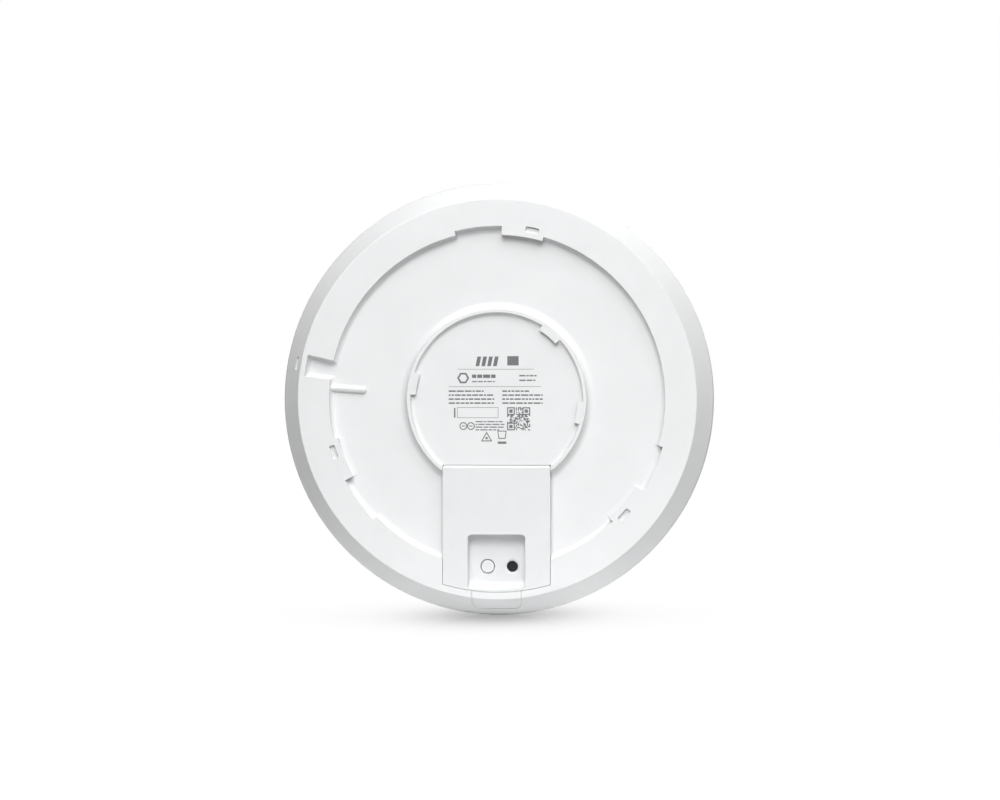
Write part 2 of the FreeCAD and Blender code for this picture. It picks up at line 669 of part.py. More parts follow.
# ---- board and its parts -------------------------------------------------------------------
def board_holes(radius, y0, y1):
    holes = []
    for angle in BOSS_ANGLES:
        place = polar(BOSS_RING_R, angle)
        holes.append(rod_y(place.x, place.z, radius, y0, y1))
    return holes


def main_board():
    board = rod_y(0, 0, BOARD_R, BOARD_Y, BOARD_Y + BOARD_THICK)
    return board.cut(board_holes(1.4, BOARD_Y - 1, BOARD_Y + 3))


def board_standoffs():
    tubes = []
    for angle in BOSS_ANGLES:
        place = polar(BOSS_RING_R, angle)
        tube = rod_y(place.x, place.z, 2.6, SPREADER_Y + SPREADER_THICK, BOARD_Y)
        tubes.append(tube.cut(rod_y(place.x, place.z, 1.4, 10, 30)))
    return Part.makeCompound(tubes)


def board_screws():
    screws = []
    top = BOARD_Y + BOARD_THICK
    for angle in BOSS_ANGLES:
        place = polar(BOSS_RING_R, angle)
        head = rod_y(place.x, place.z, 2.4, top, top + 1.6)
        shank = rod_y(place.x, place.z, 1.2, SPREADER_Y - 4.0, top)
        cross = box(place.x - 1.4, place.x + 1.4, top + 0.8, top + 3, place.z - 0.25, place.z + 0.25)
        cross = cross.fuse(box(place.x - 0.25, place.x + 0.25, top + 0.8, top + 3,
                               place.z - 1.4, place.z + 1.4))
        screws.append(head.fuse(shank).cut(cross))
    return Part.makeCompound(screws)


# centre x, centre z, width, depth along z, height of each chip or can under the board
PROCESSOR = (0.0, 34.0, 21.0, 21.0, 2.2)
SWITCH_CHIP = (0.0, 2.0, 14.0, 14.0, 1.4)
CAN_LOW = (-46.0, 22.0, 34.0, 28.0, 3.6)
CAN_HIGH = (46.0, 22.0, 34.0, 28.0, 3.6)


def under_board(place, extra=0.0, lift=0.0):
    """Block that hangs from the back face of the board."""
    x, z, width, depth, height = place
    return box(x - width / 2 - extra, x + width / 2 + extra, BOARD_Y - height - lift,
               BOARD_Y - lift, z - depth / 2 - extra, z + depth / 2 + extra)


def shield_can(place):
    x, z, width, depth, height = place
    return under_board(place).cut(under_board((x, z, width - 0.6, depth - 0.6, height - 0.3)))


def heated_places():
    return (PROCESSOR, SWITCH_CHIP, CAN_LOW, CAN_HIGH)


def heat_spreader():
    """Aluminium plate with raised pads that reach towards the hot chips."""
    plate = rod_y(0, 0, 93.0, SPREADER_Y, SPREADER_Y + SPREADER_THICK)
    plate = plate.common(box(-100, 100, 0, 40, -18.0, 100.0))
    pads = []
    for x, z, width, depth, height in heated_places():
        pads.append(box(x - width / 2, x + width / 2, SPREADER_Y, BOARD_Y - height - 1.0,
                        z - depth / 2, z + depth / 2))
    return fuse_all([plate] + pads).cut(board_holes(1.4, 10, 20))


def thermal_pads():
    pads = []
    for x, z, width, depth, height in heated_places():
        pads.append(box(x - width / 2 + 1, x + width / 2 - 1, BOARD_Y - height - 1.0,
                        BOARD_Y - height, z - depth / 2 + 1, z + depth / 2 - 1))
    return Part.makeCompound(pads)


def memory_chips():
    return Part.makeCompound([under_board((x, 58.0, 10.0, 13.0, 1.1)) for x in (-7.0, 7.0)]
                             + [under_board((20.0, 38.0, 8.0, 6.0, 1.0))])


def front_end_chips(side):
    chips = []
    for step in range(3):
        chips.append(under_board((side * (36.0 + 10.0 * step), 30.0, 4.0, 4.0, 0.9)))
    return Part.makeCompound(chips)


def radio_chip(side):
    return under_board((side * 46.0, 18.0, 12.0, 12.0, 1.2))


def network_transformers():
    return Part.makeCompound([under_board((side * 9.2, -24.0, 15.0, 12.0, 6.0))
                              for side in (-1, 1)])


def power_transformer():
    """Bobbin block with two ferrite halves around it."""
    core = under_board((-44.0, -34.0, 18.0, 15.0, 9.5))
    window = box(-60.0, -28.0, BOARD_Y - 8.0, BOARD_Y - 1.5, -38.5, -29.5)
    winding = box(-51.0, -37.0, BOARD_Y - 7.6, BOARD_Y - 1.9, -38.1, -29.9)
    return Part.makeCompound([core.cut(window), winding])


def inductors():
    coils = []
    for step in range(3):
        body = under_board((40.0 + 13.0 * step, -28.0, 10.0, 10.0, 4.5))
        edges = [e for e in body.Edges if abs(e.Vertexes[0].Y - e.Vertexes[1].Y) > 1]
        coils.append(body.makeChamfer(1.8, edges))
    return Part.makeCompound(coils)


def capacitors():
    cans = []
    for step in range(4):
        x = 36.0 + 9.0 * step
        can = rod_y(x, -44.0, 3.15, BOARD_Y - 7.7, BOARD_Y)
        waist = annulus(2.75, 4.0, BOARD_Y - 3.0, BOARD_Y - 2.4)
        waist.translate(V(x, 0, -44.0))
        foot = under_board((x, -44.0, 6.6, 6.6, 0.9))
        cans.append(can.cut(waist).fuse(foot))
    return Part.makeCompound(cans)


def jack_mouth(x):
    """Opening of one network socket, with the stepped room for the plug's latch."""
    front = BAY_TOP_Z - 1
    middle = BOARD_Y - 5.0
    mouth = box(x - 5.95, x + 5.95, middle - 5.0, middle + 1.8, front, front + 15.0)
    step = box(x - 3.2, x + 3.2, middle - 6.6, middle - 4.9, front, front + 12.0)
    slot = box(x - 1.7, x + 1.7, middle - 7.6, middle - 6.5, front, front + 10.0)
    return fuse_all([mouth, step, slot])


def network_jack(x):
    body = box(x - JACK_WIDTH / 2 + 0.3, x + JACK_WIDTH / 2 - 0.3,
               BOARD_Y - JACK_HEIGHT + 0.3, BOARD_Y, BAY_TOP_Z, BAY_TOP_Z + JACK_LENGTH - 0.3)
    slots = []
    for number in range(8):
        wire_x = x - 3.57 + 1.02 * number
        slots.append(box(wire_x - 0.3, wire_x + 0.3, BOARD_Y - 3.3, BOARD_Y - 2.0,
                         BAY_TOP_Z + 2.0, BAY_TOP_Z + 13.0))
    return body.cut([jack_mouth(x)] + slots)


def jack_shields():
    """Folded metal sleeves around the two sockets."""
    sleeves = []
    for side in (-1, 1):
        x = side * JACK_X
        outer = box(x - JACK_WIDTH / 2, x + JACK_WIDTH / 2, BOARD_Y - JACK_HEIGHT, BOARD_Y,
                    BAY_TOP_Z, BAY_TOP_Z + JACK_LENGTH)
        inner = box(x - JACK_WIDTH / 2 + 0.3, x + JACK_WIDTH / 2 - 0.3,
                    BOARD_Y - JACK_HEIGHT + 0.3, BOARD_Y + 1,
                    BAY_TOP_Z - 1, BAY_TOP_Z + JACK_LENGTH - 0.3)
        sleeves.append(outer.cut(inner))
    return Part.makeCompound(sleeves)


def jack_contacts():
    """Eight spring wires in each socket, rooted in its floor and slanting into its mouth."""
    wires = []
    base = BOARD_Y - 3.2
    for side in (-1, 1):
        for number in range(8):
            x = side * JACK_X - 3.57 + 1.02 * number - 0.2
            points = [(base + 1.0, 3.0), (base + 0.7, 3.0), (base - 3.0, 10.5), (base - 2.7, 10.8),
                      (base + 0.9, 3.8)]
            corners = [V(x, y, BAY_TOP_Z + z) for y, z in points]
            face = Part.Face(Part.makePolygon(corners + corners[:1]))
            wires.append(face.extrude(V(0.4, 0, 0)))
    return Part.makeCompound(wires)


def reset_switch():
    body = box(BUTTON_X - 3.0, BUTTON_X + 3.0, BOARD_Y - 3.5, BOARD_Y,
               CONTROL_Z - 3.0, CONTROL_Z + 3.0)
    return body.cut(rod_y(BUTTON_X, CONTROL_Z, 1.85, 19, BOARD_Y - 1.5))


def switch_plunger():
    return rod_y(BUTTON_X, CONTROL_Z, 1.75, PLUNGER_TIP_Y + 0.3, BOARD_Y - 2.9)


def status_lamps():
    lamps = []
    top = BOARD_Y + BOARD_THICK
    for number in range(8):
        lamp = box(30.6, 33.4, top, top + 1.2, -1.75, 1.75)
        lamps.append(turned(lamp, 45.0 * number))
    return Part.makeCompound(lamps)


def antenna(height, width, reach):
    """Stamped inverted-F element: upright plate, folded top and two feed legs."""
    top = BOARD_Y + BOARD_THICK
    plate = box(70.0, 70.5, top + 2.0, top + height, -width / 2, width / 2)
    roof = box(70.0 - reach, 70.5, top + height - 0.5, top + height, -width / 2, width / 2)
    feed = box(70.0, 70.5, top, top + 2.5, -width / 2 + 1, -width / 2 + 3)
    ground = box(70.0, 70.5, top, top + 2.5, width / 2 - 4, width / 2 - 1)
    slot = box(69.0, 71.5, top + 4.0, top + height - 3.0, -width / 4, width / 4)
    return fuse_all([plate, roof, feed, ground]).cut(slot)


def antennas(height, width, reach, first_angle):
    element = antenna(height, width, reach)
    return Part.makeCompound([turned(element, first_angle + 120.0 * k) for k in range(3)])


def antenna_holders(width, reach, height, first_angle):
    """Plastic blocks that hold each folded element upright."""
    top = BOARD_Y + BOARD_THICK
    block = box(70.0 - reach, 69.9, top, top + height - 0.6, -width / 2 + 1, width / 2 - 1)
    block = block.cut(box(70.0 - reach + 1.5, 68.0, top - 1, top + height, -width / 2 + 2.5,
                          width / 2 - 2.5))
    return [turned(block, first_angle + 120.0 * k) for k in range(3)]


def all_antenna_holders():
    return Part.makeCompound(antenna_holders(24.0, 9.0, 16.0, 0.0)
                             + antenna_holders(16.0, 7.0, 10.0, 60.0))


# ---- write every piece ---------------------------------------------------------------------
PIECES = {
    "rear_housing": rear_housing(),
    "front_radome": front_radome(),
    "front_cap": front_cap(),
    "light_guide": light_guide(),
    "rim_seal": rim_seal(),
    "bay_seal": bay_seal(),
    "port_cover": port_cover(),
    "hinge_pin": hinge_pin(),
    "screw_bush": screw_bush(),
    "security_screw": security_screw(),
    "button_guide": button_guide(),
    "reset_button": reset_button(),
    "button_spring": button_spring(),
    "cable_tab": cable_tab(),
    "main_board": main_board(),
    "board_standoffs": board_standoffs(),
    "board_screws": board_screws(),
    "heat_spreader": heat_spreader(),
    "thermal_pads": thermal_pads(),
    "processor": under_board(PROCESSOR),
    "switch_chip": under_board(SWITCH_CHIP),
    "memory_chips": memory_chips(),
    "radio_chip_low_band": radio_chip(-1),
    "radio_chip_high_band": radio_chip(1),
    "front_end_chips_low_band": front_end_chips(-1),
    "front_end_chips_high_band": front_end_chips(1),
    "shield_can_low_band": shield_can(CAN_LOW),
    "shield_can_high_band": shield_can(CAN_HIGH),
    "network_transformers": network_transformers(),
    "power_transformer": power_transformer(),
    "inductors": inductors(),
    "capacitors": capacitors(),
    "network_jack_left": network_jack(-JACK_X),
    "network_jack_right": network_jack(JACK_X),
    "jack_shields": jack_shields(),
    "jack_contacts": jack_contacts(),
    "reset_switch": reset_switch(),
    "switch_plunger": switch_plunger(),
    "status_lamps": status_lamps(),
    "antennas_low_band": antennas(16.0, 24.0, 9.0, 0.0),
    "antennas_high_band": antennas(10.0, 16.0, 7.0, 60.0),
    "antenna_holders": all_antenna_holders(),
}

for node_name, node_shape in PIECES.items():
    export(node_name, node_shape)
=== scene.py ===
import bmesh
import bpy
import json
import math
import random
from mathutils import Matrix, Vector


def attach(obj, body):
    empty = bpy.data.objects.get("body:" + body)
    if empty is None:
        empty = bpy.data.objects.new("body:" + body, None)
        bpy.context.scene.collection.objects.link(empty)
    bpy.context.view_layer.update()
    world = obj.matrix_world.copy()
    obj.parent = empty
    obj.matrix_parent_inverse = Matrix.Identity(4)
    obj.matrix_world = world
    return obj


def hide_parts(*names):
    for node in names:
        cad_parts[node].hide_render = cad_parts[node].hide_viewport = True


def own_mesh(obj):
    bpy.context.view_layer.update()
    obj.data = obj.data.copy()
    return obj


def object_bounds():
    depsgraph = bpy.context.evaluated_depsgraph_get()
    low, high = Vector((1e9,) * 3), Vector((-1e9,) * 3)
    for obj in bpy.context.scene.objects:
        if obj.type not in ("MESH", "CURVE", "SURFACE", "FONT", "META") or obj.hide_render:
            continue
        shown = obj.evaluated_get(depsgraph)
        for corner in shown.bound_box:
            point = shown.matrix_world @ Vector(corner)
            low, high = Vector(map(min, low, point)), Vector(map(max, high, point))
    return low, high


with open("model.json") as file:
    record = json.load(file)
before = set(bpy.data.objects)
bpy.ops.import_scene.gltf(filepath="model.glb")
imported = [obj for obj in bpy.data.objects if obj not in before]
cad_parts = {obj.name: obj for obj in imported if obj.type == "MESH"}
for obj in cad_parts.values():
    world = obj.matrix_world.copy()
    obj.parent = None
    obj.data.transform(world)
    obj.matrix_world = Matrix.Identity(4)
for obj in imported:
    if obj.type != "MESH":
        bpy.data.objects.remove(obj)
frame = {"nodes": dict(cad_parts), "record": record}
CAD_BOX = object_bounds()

# All lengths are metres, in the frame of the CAD model: X right, Z up, Y from the back band
# (Y = 0) towards the dome. Angles run counter-clockwise from +X as seen from the back.
MM = 0.001
NODES = frame["nodes"]


# ---- camera --------------------------------------------------------------------------------
CAMERA_AZIMUTH = math.radians(5.3)
CAMERA_DISTANCE = 1.9
CAMERA_AIM = Vector((0.0021, 0.0, -0.0005))
CAMERA_LENS = 121.5


def make_camera():
    data = bpy.data.cameras.new("camera")
    data.lens = CAMERA_LENS
    data.sensor_width = 36.0
    data.clip_end = 20.0
    camera = bpy.data.objects.new("camera", data)
    back = Vector((math.sin(CAMERA_AZIMUTH), -math.cos(CAMERA_AZIMUTH), 0.0))
    camera.location = CAMERA_AIM + back * CAMERA_DISTANCE
    camera.rotation_mode = "QUATERNION"
    camera.rotation_quaternion = (-back).to_track_quat("-Z", "Y")
    bpy.context.scene.collection.objects.link(camera)
    bpy.context.scene.camera = camera


# ---- node helpers for materials ------------------------------------------------------------
class Shader:
    """One procedural material and short calls that add its nodes."""

    def __init__(self, name):
        self.material = bpy.data.materials.new(name)
        self.material.use_nodes = True
        self.tree = self.material.node_tree
        self.surface = self.tree.nodes["Principled BSDF"]
        coordinates = self.tree.nodes.new("ShaderNodeTexCoord")
        self.place = coordinates.outputs["Object"]

    def link(self, source, target):
        self.tree.links.new(source, target)

    def set(self, **values):
        for name, value in values.items():
            self.surface.inputs[name.replace("_", " ")].default_value = value

    def noise(self, scale, detail=3.0, roughness=0.5, stretch=None):
        node = self.tree.nodes.new("ShaderNodeTexNoise")
        node.inputs["Scale"].default_value = scale
        node.inputs["Detail"].default_value = detail
        node.inputs["Roughness"].default_value = roughness
        place = self.place
        if stretch is not None:
            mapping = self.tree.nodes.new("ShaderNodeMapping")
            mapping.inputs["Scale"].default_value = stretch
            self.link(place, mapping.inputs["Vector"])
            place = mapping.outputs["Vector"]
        self.link(place, node.inputs["Vector"])
        return node.outputs["Fac"]

    def ramp(self, source, low, high, start=0.0, stop=1.0):
        """Maps source from start..stop to low..high."""
        node = self.tree.nodes.new("ShaderNodeMapRange")
        node.inputs["From Min"].default_value = start
        node.inputs["From Max"].default_value = stop
        node.inputs["To Min"].default_value = low
        node.inputs["To Max"].default_value = high
        self.link(source, node.inputs["Value"])
        return node.outputs["Result"]

    def blend(self, factor, first, second):
        node = self.tree.nodes.new("ShaderNodeMix")
        node.data_type = "RGBA"
        node.inputs["A"].default_value = (*first, 1.0)
        node.inputs["B"].default_value = (*second, 1.0)
        self.link(factor, node.inputs["Factor"])
        return node.outputs["Result"]

    def bump(self, height, strength, distance, base=None):
        node = self.tree.nodes.new("ShaderNodeBump")
        node.inputs["Strength"].default_value = strength
        node.inputs["Distance"].default_value = distance
        self.link(height, node.inputs["Height"])
        if base is not None:
            self.link(base, node.inputs["Normal"])
        self.link(node.outputs["Normal"], self.surface.inputs["Normal"])
        return node.outputs["Normal"]

    def rounded(self, radius):
        """Normals that soften the edges as a mould's small radius does."""
        node = self.tree.nodes.new("ShaderNodeBevel")
        node.samples = 6
        node.inputs["Radius"].default_value = radius
        return node.outputs["Normal"]


def moulded_plastic(name, colour, roughness, grain=0.25, edge=0.35 * MM, spread=0.012):
    """White or dark injection-moulded plastic with a fine spark-eroded grain."""
    shader = Shader(name)
    mottle = shader.noise(38.0, 4.0, 0.6)
    darker = tuple(max(channel - spread, 0.0) for channel in colour)
    lighter = tuple(min(channel + spread, 1.0) for channel in colour)
    shader.link(shader.blend(shader.ramp(mottle, 0.0, 1.0, 0.3, 0.7), darker, lighter),
                shader.surface.inputs["Base Color"])
    fine = shader.noise(2600.0, 3.0, 0.55)
    shader.link(shader.ramp(fine, roughness - 0.07, roughness + 0.07, 0.3, 0.7),
                shader.surface.inputs["Roughness"])
    shader.bump(fine, grain, 0.05 * MM, shader.rounded(edge))
    shader.set(IOR=1.5)
    return shader.material


def metal(name, colour, roughness, stretch=(1.0, 1.0, 1.0), scale=900.0, edge=0.12 * MM):
    """Bare or plated metal with a drawn or tumbled finish."""
    shader = Shader(name)
    streak = shader.noise(scale, 4.0, 0.6, stretch)
    tarnish = shader.noise(60.0, 3.0, 0.6)
    darker = tuple(0.86 * channel for channel in colour)
    shader.link(shader.blend(shader.ramp(tarnish, 0.0, 1.0, 0.35, 0.65), darker, colour),
                shader.surface.inputs["Base Color"])
    shader.link(shader.ramp(streak, roughness - 0.08, roughness + 0.12, 0.25, 0.75),
                shader.surface.inputs["Roughness"])
    shader.bump(streak, 0.15, 0.02 * MM, shader.rounded(edge))
    shader.set(Metallic=1.0)
    return shader.material


def rubber(name, colour):
    shader = Shader(name)
    speck = shader.noise(700.0, 5.0, 0.7)
    lighter = tuple(channel + 0.03 for channel in colour)
    shader.link(shader.blend(speck, colour, lighter), shader.surface.inputs["Base Color"])
    shader.link(shader.ramp(speck, 0.7, 0.95), shader.surface.inputs["Roughness"])
    shader.bump(speck, 0.3, 0.05 * MM)
    return shader.material


def frosted_guide():
    """Clear polycarbonate with a fine frosted face."""
    shader = Shader("frosted_guide")
    frost = shader.noise(1800.0, 3.0, 0.6)
    shader.set(Transmission_Weight=0.55, IOR=1.58)
    shader.surface.inputs["Base Color"].default_value = (0.86, 0.90, 0.93, 1.0)
    shader.link(shader.ramp(frost, 0.32, 0.5, 0.3, 0.7), shader.surface.inputs["Roughness"])
    shader.bump(frost, 0.2, 0.03 * MM, shader.rounded(0.15 * MM))
    return shader.material


def solder_mask():
    """Green board lacquer over a faint pattern of copper tracks."""
    shader = Shader("solder_mask")
    wave = shader.tree.nodes.new("ShaderNodeTexWave")
    wave.wave_type = "BANDS"
    wave.inputs["Scale"].default_value = 160.0
    wave.inputs["Distortion"].default_value = 6.0
    wave.inputs["Detail"].default_value = 0.0
    shader.link(shader.place, wave.inputs["Vector"])
    tracks = shader.ramp(wave.outputs["Fac"], 0.0, 1.0, 0.48, 0.56)
    shader.link(shader.blend(tracks, (0.010, 0.075, 0.035), (0.020, 0.135, 0.060)),
                shader.surface.inputs["Base Color"])
    fine = shader.noise(500.0, 3.0, 0.5)
    shader.link(shader.ramp(fine, 0.22, 0.38), shader.surface.inputs["Roughness"])
    shader.bump(tracks, 0.25, 0.03 * MM)
    shader.set(Coat_Weight=0.4)
    return shader.material


def ferrite(name, colour):
    shader = Shader(name)
    pits = shader.noise(1500.0, 6.0, 0.75)
    lighter = tuple(channel + 0.05 for channel in colour)
    shader.link(shader.blend(pits, colour, lighter), shader.surface.inputs["Base Color"])
    shader.link(shader.ramp(pits, 0.45, 0.75), shader.surface.inputs["Roughness"])
    shader.bump(pits, 0.5, 0.06 * MM, shader.rounded(0.2 * MM))
    return shader.material


def printed_ink():
    """Grey pad-printed ink: slightly uneven, with tiny breaks from the plastic's grain."""
    shader = Shader("printed_ink")
    grain = shader.noise(3000.0, 3.0, 0.6)
    shader.link(shader.blend(shader.ramp(grain, 0.0, 1.0, 0.55, 0.8),
                             (0.20, 0.20, 0.21), (0.36, 0.36, 0.37)),
                shader.surface.inputs["Base Color"])
    shader.link(shader.ramp(grain, 0.5, 0.7), shader.surface.inputs["Roughness"])
    return shader.material


def make_materials():
    white = (0.81, 0.815, 0.82)
    return {
        "housing_white": moulded_plastic("housing_white", white, 0.5),
        "radome_white": moulded_plastic("radome_white", (0.83, 0.835, 0.84), 0.42, 0.15),
        "cover_white": moulded_plastic("cover_white", (0.775, 0.785, 0.79), 0.5),
        "button_white": moulded_plastic("button_white", (0.785, 0.79, 0.795), 0.45, 0.15),
        "bush_black": moulded_plastic("bush_black", (0.09, 0.09, 0.095), 0.5, 0.2, spread=0.01),
        "moulded_black": moulded_plastic("moulded_black", (0.025, 0.025, 0.027), 0.45, 0.3,
                                         spread=0.005),
        "plunger_black": moulded_plastic("plunger_black", (0.03, 0.03, 0.03), 0.35, 0.1,
                                         spread=0.005),
        "chip_black": moulded_plastic("chip_black", (0.03, 0.03, 0.032), 0.6, 0.4, spread=0.006),
        "holder_white": moulded_plastic("holder_white", (0.7, 0.7, 0.69), 0.5),
        "clear_guide": frosted_guide(),
        "seal_grey": rubber("seal_grey", (0.20, 0.20, 0.21)),
        "pad_grey": rubber("pad_grey", (0.35, 0.40, 0.46)),
        "steel": metal("steel", (0.60, 0.60, 0.61), 0.32, (40.0, 1.0, 1.0)),
        "screw_dark": metal("screw_dark", (0.10, 0.10, 0.11), 0.4),
        "spring_steel": metal("spring_steel", (0.58, 0.58, 0.60), 0.28),
        "brass": metal("brass", (0.72, 0.52, 0.22), 0.3, (1.0, 30.0, 1.0)),
        "spreader_aluminium": metal("spreader_aluminium", (0.75, 0.76, 0.77), 0.42, scale=400.0),
        "can_tin": metal("can_tin", (0.68, 0.68, 0.67), 0.3, (1.0, 1.0, 25.0)),
        "shield_steel": metal("shield_steel", (0.66, 0.66, 0.66), 0.25, (1.0, 1.0, 30.0)),
        "contact_gold": metal("contact_gold", (0.83, 0.60, 0.25), 0.22),
        "antenna_tin": metal("antenna_tin", (0.72, 0.71, 0.68), 0.35, (1.0, 30.0, 1.0)),
        "board_green": solder_mask(),
        "ferrite_grey": ferrite("ferrite_grey", (0.07, 0.07, 0.075)),
        "lamp_white": moulded_plastic("lamp_white", (0.80, 0.78, 0.62), 0.3, 0.05),
        "printed_ink": printed_ink(),
    }


MATERIALS = make_materials()


def dress_cad_nodes():
    """Gives every CAD node the material of its record slot."""
    for entry in frame["record"]["subparts"]:
        slots = NODES[entry["node"]].material_slots
        for slot in slots:
            slot.material = MATERIALS[entry["material_slot"]]


# ---- stage and light -----------------------------------------------------------------------
FLOOR_Z = CAD_BOX[0][2]
CONTACT_Y = 0.010        # the object's rim touches the table here
SHADE_DEPTH = 0.505      # how much darker the painted shadow makes the table right at the contact
SHADE_REACH = (0.040, 0.081)         # half-widths of the painted shadow along X and Y
WIDE_SHADE_DEPTH = 0.056             # a second, fainter and wider painted shadow
WIDE_SHADE_REACH = (0.110, 0.12)
POLISH = 0.05            # share of mirror-like reflection in the table at the contact
POLISH_REACH = (0.30, 0.15)
FLOOR_REACH = 6.0        # half side of the table
NEAR_WHITE = 0.90        # the table's own reflectance near the object and further out
FAR_WHITE = 0.25
FADE_START = 0.08        # distances over which the table fades from one to the other
FADE_END = 0.36
TABLE_WHITE = 1.01       # a touch over white, so that faint reflections don't grey the table
BELL_RANGE = 20.0        # largest exponent used in the shade
WHITE_LIGHT = (1.0, 1.0, 1.0, 1.0)
VIEW_GAMMA = 0.9


def plane(name, corners, material):
    mesh = bpy.data.meshes.new(name)
    mesh.from_pydata([tuple(corner) for corner in corners], [], [(0, 1, 2, 3)])
    item = bpy.data.objects.new(name, mesh)
    item.data.materials.append(material)
    bpy.context.scene.collection.objects.link(item)
    return item


def falloff(shader, reach, depth):
    """Bell-shaped value around the contact, depth high at its middle."""
    tree = shader.tree
    shift = tree.nodes.new("ShaderNodeVectorMath")
    shift.operation = "SUBTRACT"
    shift.inputs[1].default_value = (0.0, CONTACT_Y, 0.0)
    shader.link(shader.place, shift.inputs[0])
    scale = tree.nodes.new("ShaderNodeVectorMath")
    scale.operation = "MULTIPLY"
    scale.inputs[1].default_value = (1.0 / reach[0], 1.0 / reach[1], 0.0)
    shader.link(shift.outputs["Vector"], scale.inputs[0])
    square = tree.nodes.new("ShaderNodeVectorMath")
    square.operation = "DOT_PRODUCT"
    shader.link(scale.outputs["Vector"], square.inputs[0])
    shader.link(scale.outputs["Vector"], square.inputs[1])
    minus = shader.ramp(square.outputs["Value"], 0.0, -BELL_RANGE, 0.0, BELL_RANGE)
    bell = tree.nodes.new("ShaderNodeMath")
    bell.operation = "EXPONENT"
    shader.link(minus, bell.inputs[0])
    return shader.ramp(bell.outputs["Value"], 0.0, depth)


def floor_material():
    """White table. The camera sees plain white with a soft painted shadow at the contact and a
    faint reflection; every other ray meets a matt board that sends light back to the object."""
    shader = Shader("stage_floor")
    tree = shader.tree
    shader.set(Roughness=0.8)
    shader.surface.inputs["Specular IOR Level"].default_value = 0.0
    distance = tree.nodes.new("ShaderNodeVectorMath")
    distance.operation = "LENGTH"
    shader.link(shader.place, distance.inputs[0])
    outward = shader.ramp(distance.outputs["Value"], 0.0, 1.0, FADE_START, FADE_END)
    shader.link(shader.blend(outward, (NEAR_WHITE,) * 3, (FAR_WHITE,) * 3),
                shader.surface.inputs["Base Color"])
    # Painted shadow: two bells around the contact lower the white emission that the camera sees.
    shade = tree.nodes.new("ShaderNodeMath")
    shade.operation = "ADD"
    shader.link(falloff(shader, SHADE_REACH, SHADE_DEPTH), shade.inputs[0])
    shader.link(falloff(shader, WIDE_SHADE_REACH, WIDE_SHADE_DEPTH), shade.inputs[1])
    white_and_painted_shade = tree.nodes.new("ShaderNodeEmission")
    shader.link(shader.ramp(shade.outputs["Value"], TABLE_WHITE, TABLE_WHITE - 1.0),
                white_and_painted_shade.inputs["Strength"])
    gloss = tree.nodes.new("ShaderNodeBsdfGlossy")
    gloss.inputs["Color"].default_value = WHITE_LIGHT
    gloss.inputs["Roughness"].default_value = 0.0
    shown = tree.nodes.new("ShaderNodeMixShader")
    shader.link(falloff(shader, POLISH_REACH, POLISH), shown.inputs["Fac"])
    shader.link(white_and_painted_shade.outputs["Emission"], shown.inputs[1])
    shader.link(gloss.outputs["BSDF"], shown.inputs[2])
    seen = tree.nodes.new("ShaderNodeLightPath")
    mix = tree.nodes.new("ShaderNodeMixShader")
    shader.link(seen.outputs["Is Camera Ray"], mix.inputs["Fac"])
    shader.link(shader.surface.outputs["BSDF"], mix.inputs[1])
    shader.link(shown.outputs["Shader"], mix.inputs[2])
    shader.link(mix.outputs["Shader"], tree.nodes["Material Output"].inputs["Surface"])
    return shader.material


def make_stage():
    corners = [(-FLOOR_REACH, -FLOOR_REACH, FLOOR_Z), (FLOOR_REACH, -FLOOR_REACH, FLOOR_Z),
               (FLOOR_REACH, FLOOR_REACH, FLOOR_Z), (-FLOOR_REACH, FLOOR_REACH, FLOOR_Z)]
    plane("floor", corners, floor_material())


def area_light(name, place, aim, size, power):
    data = bpy.data.lights.new(name, "AREA")
    data.shape = "RECTANGLE"
    data.size = size[0]
    data.size_y = size[1]
    data.energy = power
    lamp = bpy.data.objects.new(name, data)
    lamp.location = place
    direction = Vector(aim) - Vector(place)
    lamp.rotation_mode = "QUATERNION"
    lamp.rotation_quaternion = direction.to_track_quat("-Z", "Y")
    bpy.context.scene.collection.objects.link(lamp)


def make_world():
    """Dark surroundings for lighting; the camera and the table's reflection see plain white."""
    world = bpy.data.worlds.new("studio")
    world.use_nodes = True
    tree = world.node_tree
    background = tree.nodes["Background"]
    background.inputs["Color"].default_value = WHITE_LIGHT
    background.inputs["Strength"].default_value = 0.0
    backdrop = tree.nodes.new("ShaderNodeBackground")
    backdrop.inputs["Color"].default_value = WHITE_LIGHT
    backdrop.inputs["Strength"].default_value = 1.0
    seen = tree.nodes.new("ShaderNodeLightPath")
    either = tree.nodes.new("ShaderNodeMath")
    either.operation = "MAXIMUM"
    tree.links.new(seen.outputs["Is Camera Ray"], either.inputs[0])
    tree.links.new(seen.outputs["Is Singular Ray"], either.inputs[1])
    mix = tree.nodes.new("ShaderNodeMixShader")
    tree.links.new(either.outputs["Value"], mix.inputs["Fac"])
    tree.links.new(background.outputs["Background"], mix.inputs[1])
    tree.links.new(backdrop.outputs["Background"], mix.inputs[2])
    tree.links.new(mix.outputs["Shader"], tree.nodes["World Output"].inputs["Surface"])
    bpy.context.scene.world = world


def make_light():
    make_world()
    centre = (0.0, 0.0, 0.0)
    area_light("key_top", (0.0, -0.9, 1.5), centre, (1.2, 1.2), 14.5)
    area_light("top_right", (0.9, -0.7, 1.3), centre, (0.8, 0.8), 7.3)
    area_light("high_front", (0.0, -1.6, 1.1), centre, (1.4, 1.0), 26.2)
    area_light("dome_side", (0.5, 1.7, 0.8), (0.0, 0.03, 0.0), (1.2, 1.0), 34.0)
    view = bpy.context.scene.view_settings
    view.view_transform = "Standard"
    view.look = "None"
    view.gamma = VIEW_GAMMA


# ---- printed markings ----------------------------------------------------------------------
LABEL_Y = 2.5 * MM
INK_LIFT = 0.03 * MM
INK_THICKNESS = 0.025 * MM
DASH_GAP = 0.55          # millimetres between the short bars of a line
EYE = 7                  # cells along the side of a corner square


